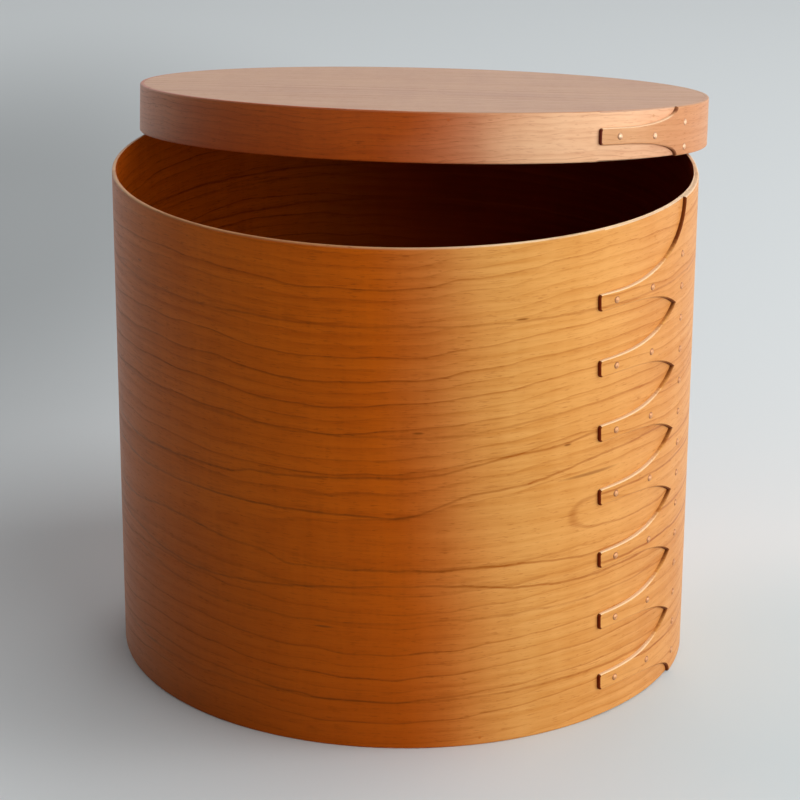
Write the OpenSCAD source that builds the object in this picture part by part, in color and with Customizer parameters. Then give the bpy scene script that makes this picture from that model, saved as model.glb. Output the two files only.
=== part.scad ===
// Round bentwood pantry box with a loose lid resting askew on its rim.
// Millimetres, +Z up, origin at the centre of the base. The front is -Y.
// Places round a band are angles from the front towards +X, so 90 is the right side.

/* [Box] */
// Outer diameter of the box, away from the lap
box_d = 300; // [200:1:400]
// Height of the box band
box_h = 259; // [180:1:340]
// Thickness of the bent strips
band_t = 2; // [1.4:0.1:3]
// Thickness of the bottom board
bottom_t = 8; // [5:0.5:14]

/* [Lid] */
// Height of the lid band
lid_h = 25.4; // [20:0.2:40]
// Thickness of the lid board
lid_board_t = 7.5; // [4:0.5:10]
// Room between the closed lid and the thickest place of the box
lid_clear = 0.3; // [0.2:0.1:1.5]

/* [Lid at rest] */
// Direction in which the lid is pushed off the box, from +X
rest_dir = 83.4; // [60:0.2:120]
// Distance from the box axis to the line where the lid band lies on the rim
rest_line = 41.2; // [30:0.2:70]
// Room left under the resting lid
rest_gap = 0.3; // [0.3:0.1:1]

/* [Laps] */
// Number of fingers on the box
finger_count = 7; // [4:1:8]
// Depth of the top finger's centre line below the rim
finger_top = 36.8; // [30:0.2:45]
// Height of the bottom finger's centre line above the base
finger_low = 19.5; // [16:0.1:30]
// Width of a finger at its tip
tip_w = 8.7; // [5:0.1:11]
// Length of a box finger from tip to root
finger_len = 63.5; // [45:0.5:80]
// Length of the lid finger from tip to root
lid_finger_len = 60; // [45:1:80]
// Length of the top finger's upper side, from its tip to the rim
rim_flare = 76.5; // [60:0.5:90]
// Length of the bottom finger's lower side, from its tip to the base
foot_flare = 69; // [60:0.5:90]
// Straight stretch of the end fingers next to their tips
neck = 12; // [5:1:30]
// Straight stretch of the lid finger next to its tip
lid_neck = 17; // [5:1:30]
// Rise of the pointed end of a gap above the middle of its mouth
apex_up = 1.8; // [0:0.1:3]
// Lean of the finger line, as arc for each millimetre of height
lean = 0.035; // [0:0.005:0.06]
// Place of the box finger tips round the band
tip_angle = 39.6; // [0:0.1:90]
// Place of the lid finger tip round the lid
lid_tip_angle = 34.3; // [0:0.1:90]
// Angle from the thickest place of a lap to where it meets the plain band
lap_fade_angle = 37; // [30:1:50]

/* [Tacks] */
// Diameter of a tack head
head_d = 3.5; // [2.5:0.1:5]
// Height of a tack head
head_h = 0.8; // [0.4:0.1:1.4]
// Diameter of a tack shank
shank_d = 1.5; // [1:0.1:2]
// Diameter of the clinched end inside
clinch_d = 2.6; // [2:0.1:3.5]
// Height of the clinched end inside
clinch_h = 0.5; // [0.3:0.1:0.8]
// Distance of the first tack from the finger tip
tip_tack_in = 11.2; // [8:0.2:18]
// Distance of the second tack from the finger tip
root_tack_in = 39; // [25:0.5:44]
// Distance of the tack row behind the finger roots
row_in = 9; // [6:0.5:14]
// Distance of the first lid tack from the lid finger's tip
lid_tack_in = 12.6; // [8:0.2:18]
// Drop of the second lid tack below the middle of the lid band
lid_tack_drop = 0.9; // [0:0.1:2]
// Height of the lower tack in the lid's row
lid_row_low = 4.4; // [3:0.1:6]
// Height of the upper tack in the lid's row, which stops short of the lid board
lid_row_high = 17; // [14:0.1:17]
// Wood left under the point of the short upper lid tack
short_in = 0.3; // [0.2:0.1:1]

/* [Pegs] */
// Number of pegs round each board
peg_count = 8; // [6:1:8]
// Diameter of a peg
peg_d = 1.6; // [1.2:0.1:2.4]
// Length of a peg
peg_len = 14; // [8:1:20]
// Place of the first bottom peg round the band
bottom_peg_angle = 15; // [5:1:20]
// Place of the first lid peg round the lid
lid_peg_angle = 4; // [0:1:8]

/* [Hidden] */
$fn = 96;
// Room round a shank or peg in its hole
hole_fit = 0.05;
// Room between a flat tack face and the curved strip under it
seat_fit = 0.06;
// Overrun of a cutting shape past what it cuts
past = 1;
box_r = box_d/2;
bore_r = box_r - band_t;
lid_bore_r = box_r + band_t/2 + lid_clear;
lid_r = lid_bore_r + band_t;
// The lid lies on three points: its band on the rim at two, its board on the back of the rim at the third.
lid_depth = lid_h - lid_board_t;
lid_tilt = asin(lid_depth/(box_r - rest_line));
lid_reach = sqrt(lid_bore_r*lid_bore_r - box_r*box_r + rest_line*rest_line);
lid_shift = rest_line + lid_reach*cos(lid_tilt);
lid_z = box_h - lid_reach*sin(lid_tilt) + rest_gap;
finger_pitch = (box_h - finger_top - finger_low)/(finger_count - 1);
finger_z = [for (i = [0 : finger_count - 1]) finger_low + i*finger_pitch];
row_z = [for (z = finger_z, side = [-1, 1]) z + side*finger_pitch/4];
tip_spots = leaning(tip_tack_in, finger_z);
root_spots = leaning(root_tack_in, finger_z);
row_spots = leaning(finger_len + row_in, row_z);
lid_finger_spots = [[lid_tack_in, lid_h/2], [root_tack_in, lid_h/2 - lid_tack_drop]];
lid_low_spots = [[lid_finger_len + row_in, lid_row_low]];
lid_high_spots = [[lid_finger_len + row_in, lid_row_high]];
// The lap's outer face is a cylinder set off towards its thickest place, so it fades into the band both ways.
lap_off = band_t/(1 - cos(lap_fade_angle));
// Straight steps in each curved side of a finger
flare_steps = 12;
// Bluntness of the gaps between the fingers
gap_power = 3.3;
cherry = [0.72, 0.42, 0.20];
cherry_light = [0.78, 0.56, 0.42];
copper = [0.80, 0.50, 0.36];

// Angle round a lap's outer face that an arc length covers
function arc_angle(arc, r) = arc/(r + band_t)*180/PI;

// Angle of the thickest place of a lap, half way from the tips to the tack row
function lap_mid(r, tip, span) = tip + arc_angle((span + row_in)/2, r);

// Radius of the lap's outer face at an angle from its thickest place
function lap_r(r, turn) = lap_off*cos(turn) + sqrt(pow(r + band_t - lap_off, 2) - pow(lap_off*sin(turn), 2));

// Radius of the lap's outer face at an arc length behind the tips
function lap_face(r, tip, span, arc) = lap_r(r, tip + arc_angle(arc, r) - lap_mid(r, tip, span));

// Places of tacks as arc behind the tips and height, along the leaning finger line of the box
function leaning(arc, heights) = [for (z = heights) [arc + lean*(box_h/2 - z), z]];

// Side of an end finger from the strip's edge to its neck: a quarter ellipse, as arc and distance from the edge
function flare(span, straight, rise) = [for (i = [flare_steps : -1 : 0]) let (a = 90*i/flare_steps)
    [straight + (span - straight)*sin(a), rise*cos(a)]];

// One point of a gap between two fingers, at a share of its length
function gap_point(s, middle, half) = [finger_len*s, middle + half*(1 - pow(s, gap_power)) + apex_up*s];

// Gap between two fingers, from the upper finger's tip to the pointed end and back to the lower finger's tip
function gap(upper, lower) = let (middle = (upper + lower)/2, half = (upper - lower)/2) concat(
    [for (i = [0 : flare_steps]) gap_point(i/flare_steps, middle, half)],
    [for (i = [flare_steps - 1 : -1 : 0]) gap_point(i/flare_steps, middle, -half)]);

// Turns a piece made at +X to a place round the band
module at_angle(a) {
    rotate([0, 0, a - 90]) children();
}

// Flat outline of the box lap, with the finger tips near x = 0 and the base edge at y = 0
module box_lap(reach) {
    top = finger_z[finger_count - 1] + tip_w/2;
    low = finger_z[0] - tip_w/2;
    rim_side = [for (p = flare(rim_flare, neck, box_h - top)) [p.x, box_h - p.y]];
    foot_side = flare(foot_flare, neck, low);
    gaps = [for (i = [finger_count - 1 : -1 : 1]) each gap(finger_z[i] - tip_w/2, finger_z[i - 1] + tip_w/2)];
    foot_back = [for (i = [flare_steps : -1 : 0]) foot_side[i]];
    edge = concat([[reach, 0], [reach, box_h]], rim_side, [[0, top]], gaps, [[0, low]], foot_back);
    polygon([for (p = edge) [p.x + lean*(box_h/2 - p.y), p.y]]);
}

// Flat outline of the lid lap, with its one finger's tip at x = 0 and the lower edge at y = 0
module lid_lap(reach) {
    rise = (lid_h - tip_w)/2;
    side = flare(lid_finger_len, lid_neck, rise);
    upper = [for (p = side) [p.x, lid_h - p.y]];
    lower = [for (i = [flare_steps : -1 : 0]) side[i]];
    polygon(concat([[reach, 0], [reach, lid_h]], upper, [[0, lid_h - rise], [0, rise]], lower));
}

// Upright cylinder whose seam is on the far side from +X
module drum(r, h) {
    rotate([0, 0, 180]) cylinder(r = r, h = h);
}

// Flat reach of a lap's outline, past where it fades into the band
function lap_reach(r) = r*(sin(lap_fade_angle) + sin(lap_fade_angle + 10));

// Bent strip with its lap, whose flat outline is the child, still without holes
module lapped_band(r, h, tip, span) {
    mid = lap_mid(r, tip, span);
    facing = tip + arc_angle(span/2, r);
    difference() {
        union() {
            at_angle(mid) drum(r, h);
            intersection() {
                at_angle(mid) translate([lap_off, 0, 0]) drum(r + band_t - lap_off, h);
                at_angle(facing) rotate([90, 0, 90]) translate([-span/2, 0, r/3])
                    linear_extrude(r) children();
            }
        }
        at_angle(mid) translate([0, 0, -past]) drum(r - band_t, h + 2*past);
    }
}

// Tack standing along +X: domed head on the outside, straight shank down to an inner radius
module tack(face_r, end_r) {
    dome_r = (pow(head_d/2, 2) + head_h*head_h)/(2*head_h);
    head_x = face_r + seat_fit;
    translate([head_x, 0, 0]) rotate([0, 90, 0]) intersection() {
        translate([0, 0, head_h - dome_r]) sphere(dome_r);
        cylinder(d = head_d + past, h = head_h + past);
    }
    translate([end_r, 0, 0]) rotate([0, 90, 0]) cylinder(d = shank_d, h = head_x - end_r + head_h/2);
}

// Tack with its end clinched on the inside of the strip
module clinched_tack(face_r, inner_r) {
    clinch_x = inner_r - seat_fit - clinch_h;
    tack(face_r, clinch_x);
    translate([clinch_x, 0, 0]) rotate([0, 90, 0]) cylinder(d = clinch_d, h = clinch_h);
}

// Puts children on a lap at an arc length behind the tips and a height
module at_spot(r, tip, spot) {
    translate([0, 0, spot.y]) at_angle(tip + arc_angle(spot.x, r)) children();
}

// Clinched tacks at places on a lap
module tacks(r, tip, span, spots) {
    for (s = spots) at_spot(r, tip, s) clinched_tack(lap_face(r, tip, span, s.x), r - band_t);
}

// Holes for tacks at places on a lap
module tack_holes(r, tip, spots) {
    for (s = spots) at_spot(r, tip, s)
        translate([r - 2*band_t, 0, 0]) rotate([0, 90, 0]) cylinder(r = shank_d/2 + hole_fit, h = 4*band_t);
}

// Ring of pegs, or of the holes for them
module pegs(r, first, z, fit, out) {
    for (i = [0 : peg_count - 1])
        translate([0, 0, z]) at_angle(first + 360*i/peg_count)
            translate([r - peg_len - fit, 0, 0]) rotate([0, 90, 0])
                cylinder(r = peg_d/2 + fit, h = peg_len + fit + out);
}

// Puts a piece of the lid, made round its own axis, where the lid rests
module resting() {
    translate([lid_shift*cos(rest_dir), lid_shift*sin(rest_dir), lid_z])
        rotate(a = lid_tilt, v = [-sin(rest_dir), cos(rest_dir), 0]) children();
}

module box_band() {
    color(cherry) difference() {
        lapped_band(box_r, box_h, tip_angle, finger_len) box_lap(lap_reach(box_r));
        tack_holes(box_r, tip_angle, concat(tip_spots, root_spots, row_spots));
        pegs(box_r, bottom_peg_angle, bottom_t/2, hole_fit, 2*band_t);
    }
}

module box_bottom() {
    color(cherry) difference() {
        cylinder(r = bore_r, h = bottom_t);
        pegs(box_r, bottom_peg_angle, bottom_t/2, hole_fit, 0);
    }
}

module bottom_pegs() {
    color(cherry) pegs(box_r, bottom_peg_angle, bottom_t/2, 0, 0);
}

module finger_tip_tacks() {
    color(copper) tacks(box_r, tip_angle, finger_len, tip_spots);
}

module finger_root_tacks() {
    color(copper) tacks(box_r, tip_angle, finger_len, root_spots);
}

module lap_row_tacks() {
    color(copper) tacks(box_r, tip_angle, finger_len, row_spots);
}

module lid_band() {
    color(cherry) resting() difference() {
        lapped_band(lid_r, lid_h, lid_tip_angle, lid_finger_len) lid_lap(lap_reach(lid_r));
        tack_holes(lid_r, lid_tip_angle, concat(lid_finger_spots, lid_low_spots, lid_high_spots));
        pegs(lid_r, lid_peg_angle, lid_h - lid_board_t/2, hole_fit, 2*band_t);
    }
}

module lid_board() {
    color(cherry_light) resting() difference() {
        translate([0, 0, lid_depth]) cylinder(r = lid_bore_r, h = lid_board_t);
        pegs(lid_r, lid_peg_angle, lid_h - lid_board_t/2, hole_fit, 0);
    }
}

module lid_pegs() {
    color(cherry) resting() pegs(lid_r, lid_peg_angle, lid_h - lid_board_t/2, 0, 0);
}

module lid_finger_tacks() {
    color(copper) resting() tacks(lid_r, lid_tip_angle, lid_finger_len, lid_finger_spots);
}

module lid_row_tacks() {
    color(copper) resting() {
        tacks(lid_r, lid_tip_angle, lid_finger_len, lid_low_spots);
        for (s = lid_high_spots) at_spot(lid_r, lid_tip_angle, s)
            tack(lap_face(lid_r, lid_tip_angle, lid_finger_len, s.x), lid_bore_r + short_in);
    }
}

box_band();
box_bottom();
bottom_pegs();
finger_tip_tacks();
finger_root_tacks();
lap_row_tacks();
lid_band();
lid_board();
lid_pegs();
lid_finger_tacks();
lid_row_tacks();
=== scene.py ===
"""Dresses the round bentwood pantry box: bent cherry strips with fingered laps, boards, tacks and pegs."""
from __future__ import annotations

import logging
import math
import random
from dataclasses import dataclass
from enum import Enum
from typing import Callable, Sequence

import bmesh
import bpy
from mathutils import Matrix, Vector


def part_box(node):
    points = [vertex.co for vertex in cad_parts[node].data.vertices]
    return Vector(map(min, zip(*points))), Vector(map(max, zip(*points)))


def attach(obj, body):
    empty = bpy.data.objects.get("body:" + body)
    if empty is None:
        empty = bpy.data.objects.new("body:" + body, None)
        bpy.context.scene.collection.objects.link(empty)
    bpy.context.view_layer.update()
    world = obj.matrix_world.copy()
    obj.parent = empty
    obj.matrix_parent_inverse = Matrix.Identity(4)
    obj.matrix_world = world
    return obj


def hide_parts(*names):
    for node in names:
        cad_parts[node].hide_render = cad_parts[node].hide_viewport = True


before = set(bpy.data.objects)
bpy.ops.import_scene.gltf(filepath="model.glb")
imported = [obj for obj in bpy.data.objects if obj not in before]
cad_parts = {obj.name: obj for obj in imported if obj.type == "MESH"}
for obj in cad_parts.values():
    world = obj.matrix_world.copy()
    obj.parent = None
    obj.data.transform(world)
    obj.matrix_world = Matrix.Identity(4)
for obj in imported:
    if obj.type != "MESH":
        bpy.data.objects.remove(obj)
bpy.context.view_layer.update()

LOG = logging.getLogger("pantry_box")
MM = 0.001
FULL_TURN = 2 * math.pi
QUARTER_TURN = math.pi / 2
FLAT = 1e-6
NEAR = 1e-5
GRAIN_MAP = "grain"
HIGHLIGHT_AND_CUT_SHADE_MAP = "wear"
BLACK = (0.0, 0.0, 0.0)

Colour = tuple[float, float, float]
Point = tuple[float, float]
TackSpot = tuple[float, float, bool]
Piece = bpy.types.Object
Material = bpy.types.Material


class Body(Enum):
    """Moving bodies of the frame."""

    BOX = "box"
    LID = "lid"


class Slot(Enum):
    """Material slots of the record."""

    CHERRY = "cherry"
    BOARD = "cherry_board"
    COPPER = "copper"


# Shader graph

class Wire:
    """One output of a shader node, with arithmetic that adds Math nodes."""

    def __init__(self, graph: Graph, socket: bpy.types.NodeSocket) -> None:
        """Keeps the graph and the output socket."""
        self.graph = graph
        self.socket = socket

    def _math(self, operation: str, first: Wire | float, second: Wire | float = 0.0) -> Wire:
        """Adds one Math node."""
        return self.graph.node("ShaderNodeMath", {"operation": operation}, {0: first, 1: second})

    def __add__(self, other: Wire | float) -> Wire:
        """Sum."""
        return self._math("ADD", self, other)

    def __radd__(self, other: float) -> Wire:
        """Sum with a number on the left."""
        return self._math("ADD", other, self)

    def __sub__(self, other: Wire | float) -> Wire:
        """Difference."""
        return self._math("SUBTRACT", self, other)

    def __rsub__(self, other: float) -> Wire:
        """Difference from a number on the left."""
        return self._math("SUBTRACT", other, self)

    def __mul__(self, other: Wire | float) -> Wire:
        """Product."""
        return self._math("MULTIPLY", self, other)

    def __rmul__(self, other: float) -> Wire:
        """Product with a number on the left."""
        return self._math("MULTIPLY", other, self)

    def __truediv__(self, other: Wire | float) -> Wire:
        """Quotient."""
        return self._math("DIVIDE", self, other)

    def __pow__(self, other: float) -> Wire:
        """Power."""
        return self._math("POWER", self, other)

    def floor(self) -> Wire:
        """Whole part."""
        return self._math("FLOOR", self)

    def fract(self) -> Wire:
        """Part after the point."""
        return self._math("FRACT", self)

    def cosine(self) -> Wire:
        """Cosine of an angle in radians."""
        return self._math("COSINE", self)

    def size(self) -> Wire:
        """Value without its sign."""
        return self._math("ABSOLUTE", self)

    def length_with(self, other: Wire) -> Wire:
        """Length of the vector whose two sides are this value and another."""
        return (self * self + other * other) ** 0.5

    def rise(self, start: float, end: float) -> Wire:
        """Smooth step from 0 at the start to 1 at the end."""
        sockets = {"Value": self, "From Min": start, "From Max": end}
        return self.graph.node("ShaderNodeMapRange", {"interpolation_type": "SMOOTHSTEP"}, sockets)

    def band(self, start: float, full: float, last: float, end: float) -> Wire:
        """Smooth band that is whole from full to last and 0 outside start and end."""
        return self.rise(start, full) * (1 - self.rise(last, end))


class Graph:
    """A node tree that ends in one shader."""

    def __init__(self, owner: Material | bpy.types.World, shader: str) -> None:
        """Keeps the tree and its shader.

        Args:
            owner: material or world, whose nodes are switched on.
            shader: type of the shader node.
        """
        owner.use_nodes = True
        self.owner = owner
        self.tree = owner.node_tree
        self.shader = next(n for n in self.tree.nodes if n.type == shader)

    @classmethod
    def of_material(cls, name: str) -> Graph:
        """Makes a material with a Principled shader."""
        return cls(bpy.data.materials.new(name), "BSDF_PRINCIPLED")

    @classmethod
    def of_world(cls, name: str) -> Graph:
        """Makes a world with a plain background."""
        return cls(bpy.data.worlds.new(name), "BACKGROUND")

    def node(
        self, kind: str, settings: dict | None = None, sockets: dict | None = None, output: int | str = 0
    ) -> Wire:
        """Adds a node, sets it up and links it.

        Args:
            kind: type name of the node.
            settings: node properties.
            sockets: values or wires for input sockets, by name or number.
            output: output to return.

        Returns:
            The chosen output.
        """
        made = self.tree.nodes.new(kind)
        for key, value in (settings or {}).items():
            setattr(made, key, value)
        for key, value in (sockets or {}).items():
            self._feed(made.inputs[key], value)
        return Wire(self, made.outputs[output])

    def _feed(self, socket: bpy.types.NodeSocket, value: Wire | float | Sequence[float]) -> None:
        """Links a wire to a socket or sets the socket's value.

        Args:
            socket: input socket.
            value: wire, number, vector or colour.
        """
        if isinstance(value, Wire):
            self.tree.links.new(value.socket, socket)
        elif socket.type == "RGBA":
            socket.default_value = (*value, 1.0)
        else:
            socket.default_value = value

    def surface(self, **sockets: Wire | float | Sequence[float]) -> Material | bpy.types.World:
        """Feeds the shader.

        Args:
            sockets: values or wires by socket name, with _ for a space.

        Returns:
            The finished material or world.
        """
        for key, value in sockets.items():
            self._feed(self.shader.inputs[key.replace("_", " ")], value)
        return self.owner

    def vector(self, x: Wire | float, y: Wire | float, z: Wire | float) -> Wire:
        """Vector of three values."""
        return self.node("ShaderNodeCombineXYZ", {}, {"X": x, "Y": y, "Z": z})

    def split(self, vector: Wire) -> tuple[Wire, ...]:
        """The three values of a vector."""
        first = self.node("ShaderNodeSeparateXYZ", {}, {"Vector": vector})
        return tuple(Wire(self, output) for output in first.socket.node.outputs)

    def map_of(self, name: str) -> tuple[Wire, ...]:
        """The two values of a mesh's map."""
        return self.split(self.node("ShaderNodeUVMap", {"uv_map": name}))[:2]

    def noise(self, place: Wire, detail: float) -> Wire:
        """Soft noise from 0 to 1, read at a place in units of its scale."""
        sockets = {"Vector": place, "Scale": 1.0, "Detail": detail, "Roughness": 0.5}
        return self.node("ShaderNodeTexNoise", {}, sockets, "Fac")

    def mix(self, first: Wire | Colour, second: Wire | Colour, share: Wire | float) -> Wire:
        """Colour between two colours, by the share of the second."""
        sockets = {0: share, 6: first, 7: second}
        return self.node("ShaderNodeMix", {"data_type": "RGBA", "clamp_factor": True}, sockets, 2)

    def bump(self, height: Wire, strength: float, distance: float) -> Wire:
        """Normal bent by a height, whose size at 1 is a distance in metres."""
        sockets = {"Height": height, "Strength": strength, "Distance": distance}
        return self.node("ShaderNodeBump", {}, sockets)


# Marks in the wood

@dataclass(frozen=True)
class Fleck:
    """A small dark gum fleck, with its place and half sizes on the grain map in millimetres."""

    along: float
    across: float
    length: float
    width: float
    share: float = 0.9


@dataclass(frozen=True)
class GrainLine:
    """A grain line that stands out, in millimetres, with jogs that are each a start, an end and a lift."""

    height: float
    share: float
    jogs: tuple[tuple[float, float, float], ...] = ()
    width: float = 0.8
    shade: float = 0.25


@dataclass(frozen=True)
class GrainLoop:
    """The closed end of a long arch in the grain, in millimetres."""

    along: float
    across: float
    length: float
    width: float
    share: float = 0.45
    power: float = 3
    wobble: float = 1.5


@dataclass(frozen=True)
class Layer:
    """A noise in the wood: changes in a metre along and across the grain, number and finer layers."""

    along: float
    across: float
    number: float
    detail: float = 2.0


SWAY = Layer(34, 26, 1.3, 1)
RIPPLE = Layer(60, 70, 7.7, 1)
FADE = Layer(14, 60, 9.2)
CLOUD = Layer(7, 16, 12.5)
STREAK = Layer(10, 330, 15.1, 3)
FIBRE = Layer(90, 1100, 18.9)
PORE = Layer(220, 1600, 21.4, 1)
FIGURE = Layer(75, 10, 24.3)
TREMBLE = Layer(60, 40, 27.6)
CROSS = Layer(420, 50, 30.2, 1)
BORDER = Layer(9, 22, 33.4, 1)

# Bands of a ring, a line and a loop: start, full, last and end
LATE_WOOD = (0.35, 0.97, 0.97, 1.0)
RING_LINE = (0.78, 0.94, 0.95, 1.0)
LINE_CORE = (-1.2, -0.2, 0.2, 1.2)
LINE_SHADE = (-0.5, 0.5, 0.5, 9.0)
LOOP_LINE = (0.66, 0.92, 0.92, 1.2)


class Grain:
    """The grain map in a wood's graph, with the noises that run along it."""

    def __init__(self, graph: Graph, seed: float) -> None:
        """Reads the map, with a seed that keeps one wood's noises apart from another's."""
        self.graph = graph
        self.seed = seed
        self.along, self.across = graph.map_of(GRAIN_MAP)

    def noise(self, layer: Layer) -> Wire:
        """Noise from 0 to 1, stretched along the grain."""
        spot = (self.along * layer.along, self.across * layer.across, self.seed + layer.number)
        return self.graph.noise(self.graph.vector(*spot), layer.detail)

    def drift(self, layer: Layer, size: float) -> Wire:
        """Noise about 0, times a size."""
        return (self.noise(layer) - 0.5) * size

    def swell(self, crest: float, length: float) -> Wire:
        """Cosine along the grain, from one crest to the next in a length."""
        return ((self.along - crest) * (FULL_TURN / length)).cosine()


# Finishes

@dataclass(frozen=True)
class CherryFinish:
    """Oiled cherry cut near the middle of the log, so its rings show as long arches and close lines.

    The grain bows about a heart line that waves up and down, at a depth that swings slowly along it. The wood
    has its base tone between second_tone_fades_to and second_tone_from, and a second tone outside them. On
    the
    strips the second tone is painted light: a painted sheen on the lit side of the box and lid, painted shade
    on the inner walls that the light does not reach, and a painted highlight on the box's rim. On a board it
    is the board's own colour. The base tone can get painted shade towards the bottom of the strip, and the
    start of a strip, its lap, a gold-toned painted sheen.
    """

    name: str
    pale: Colour = (0.49, 0.086, 0.003)
    deep: Colour = (0.395, 0.060, 0.002)
    # Second tone: painted light on the strips (a sheen on the lit side, shade on the inner walls, a highlight
    # on the box's rim), and the board's own colour on a board.
    painted_light_and_board_tone: Colour = (0.60, 0.262, 0.078)
    painted_light_and_board_deep: Colour = (0.51, 0.190, 0.046)
    line: Colour = (0.27, 0.042, 0.003)
    line_deep: Colour = (0.19, 0.026, 0.002)
    # Painted highlight on upward-facing eased edges; cut faces and finger tips are darkened as end grain and
    # as painted shade.
    edge_highlight: Colour = (0.80, 0.53, 0.33)
    cut: Colour = (0.12, 0.012, 0.003)
    tip: Colour = (0.12, 0.002, 0.002)
    resin: Colour = (0.19, 0.030, 0.004)
    resin_edge: Point = (0.3, 1.0)
    # Painted shade towards the bottom of the strip, in the base tone zone.
    foot_shade: Colour = (0.32, 0.044, 0.002)
    foot_shade_share: float = 0.0
    foot_shade_height: float = 230 * MM
    # Gold-toned painted sheen on the start of the strip, its lap.
    lap_sheen: Colour = (0.42, 0.20, 0.05)
    lap_sheen_share: float = 0.0
    lap_sheen_from: float = 120 * MM
    lap_sheen_to: float = 300 * MM
    gloss: Colour = (1.0, 0.90, 0.10)
    gloss_level: float = 0.5
    silk: float = 0.85
    silk_turn: float = 0.25
    ring: float = 5.3 * MM
    uneven: float = 7 * MM
    uneven_per_metre: float = 95.0
    uneven_number: float = 3.0
    ring_power: float = 1.5
    ring_range: float = 0.85
    ring_least: float = 0.10
    ring_fade: float = 0.8
    steep: Point = (0.0, 0.5)
    mark_least: float = 0.35
    mark_fade: float = 1.3
    heart: float = 112.2 * MM
    climb: float = 0.02
    climb_at: float = 830 * MM
    wave: float = 3.3 * MM
    wave_at: float = 955 * MM
    wave_length: float = 250 * MM
    sway: float = 5 * MM
    ripple: float = 1 * MM
    tremble: float = 2.4 * MM
    depth: float = 45.05 * MM
    swing: float = 2.75 * MM
    swing_at: float = 694.7 * MM
    swing_length: float = 640 * MM
    cloud: float = 1.2
    streak: float = 2.0
    figure: float = 1.0
    late: float = 0.35
    tone: float = 0.32
    fibre: float = 1.2
    cross: float = 0.4
    pore: float = 0.5
    pore_edge: Point = (0.60, 0.74)
    line_share: float = 0.55
    second_tone_line_share: float = 0.8
    fibre_share: float = 0.55
    base_tone_gain: float = 0.5
    roughness: float = 0.48
    streak_rough: float = 0.16
    mark_rough: float = 0.08
    cut_rough: float = 0.5
    fibre_height: float = 0.6
    pore_depth: float = 0.5
    line_depth: float = 0.35
    relief: float = 0.25
    relief_size: float = 0.10 * MM
    # Where the second tone fades out along the strip and where it comes back; on the strips it carries
    # painted light.
    second_tone_fades_from: float = 150 * MM
    second_tone_fades_to: float = 400 * MM
    second_tone_from: float = 825 * MM
    second_tone_ramp: float = 94 * MM
    border_lean: float = 0.0
    border_drift: float = 90 * MM
    seed: float = 0.0
    flecks: tuple[Fleck, ...] = ()
    lines: tuple[GrainLine, ...] = ()
    loops: tuple[GrainLoop, ...] = ()

    def rings(self, grain: Grain, fade: Wire) -> tuple[Wire, Wire]:
        """Works out the rings.

        Args:
            grain: grain map.
            fade: noise by which the lines come and go.

        Returns:
            The dark late wood of the rings and the thin lines at their ends.
        """
        g = grain.graph
        climb = (grain.along - self.climb_at) * self.climb
        heart = self.heart + climb + grain.swell(self.wave_at, self.wave_length) * self.wave
        depth = self.depth + grain.swell(self.swing_at, self.swing_length) * self.swing
        off_heart = grain.across - heart - grain.drift(SWAY, self.sway)
        reach = off_heart.length_with(depth) + grain.drift(RIPPLE, self.ripple)
        slope = off_heart.size() / reach
        spot = g.vector(reach * self.uneven_per_metre, self.seed, self.uneven_number)
        phase = (reach + (g.noise(spot, 1) - 0.5) * self.uneven) / self.ring
        place = phase.fract()
        number = {"W": phase.floor() + self.seed}
        chance = g.node("ShaderNodeTexWhiteNoise", {"noise_dimensions": "1D"}, number)
        strength = chance ** self.ring_power * self.ring_range + self.ring_least
        strength = strength + (fade - 0.5) * self.ring_fade
        return place.band(*LATE_WOOD), place.band(*RING_LINE) * strength * slope.rise(*self.steep)

    def marks(self, grain: Grain, fade: Wire) -> list[Wire]:
        """Draws the lines and loops that stand out.

        Args:
            grain: grain map.
            fade: noise by which the lines come and go.

        Returns:
            The darkness of each line and loop.
        """
        tremble = grain.drift(TREMBLE, self.tremble)
        vary = self.mark_least + fade * self.mark_fade
        drawn = []
        for line in self.lines:
            course = tremble + line.height * MM
            for start, end, lift in line.jogs:
                course = course + grain.along.rise(start * MM, end * MM) * (lift * MM)
            above = (grain.across - course) / (line.width * MM)
            shade = above.band(*LINE_SHADE) * line.shade
            drawn.append((above.band(*LINE_CORE) + shade) * vary * line.share)
        for loop in self.loops:
            over = (grain.along - loop.along * MM) / (loop.length * MM)
            up = (grain.across - loop.across * MM - tremble * loop.wobble) / (loop.width * MM)
            far = over.size() ** loop.power + up.size() ** loop.power
            drawn.append(far.band(*LOOP_LINE) * loop.share)
        return drawn

    def material(self) -> Material:
        """Makes the wood.

        Returns:
            The finished material.
        """
        g = Graph.of_material(self.name)
        grain = Grain(g, self.seed)
        fade = grain.noise(FADE)
        late, thin = self.rings(grain, fade)
        streak = grain.noise(STREAK)
        fibre = grain.noise(FIBRE)
        pore = grain.noise(PORE).rise(*self.pore_edge)

        patches = grain.drift(CLOUD, self.cloud) + (streak - 0.5) * self.streak
        tone = patches + grain.drift(FIGURE, self.figure) + late * self.late + self.tone
        # Zone of the second tone: painted sheen on the lit side of the box and lid, painted shade on the
        # inner walls away from the light, and the board's colour on a board.
        edge = grain.along + grain.across * self.border_lean + grain.drift(BORDER, self.border_drift)
        second_tone_to = self.second_tone_from + self.second_tone_ramp
        second_tone_zone = 1 - edge.rise(self.second_tone_fades_from, self.second_tone_fades_to) + edge.rise(self.second_tone_from, second_tone_to)
        base_tone_zone = 1 - second_tone_zone
        colour = g.mix(g.mix(self.pale, self.deep, tone), g.mix(self.painted_light_and_board_tone, self.painted_light_and_board_deep, tone), second_tone_zone)
        # Painted shade, darker towards the bottom of the strip, on the base tone zone only.
        low = (1 - grain.across.rise(0.0, self.foot_shade_height)) * base_tone_zone * base_tone_zone
        colour = g.mix(colour, self.foot_shade, low * self.foot_shade_share)
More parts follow.
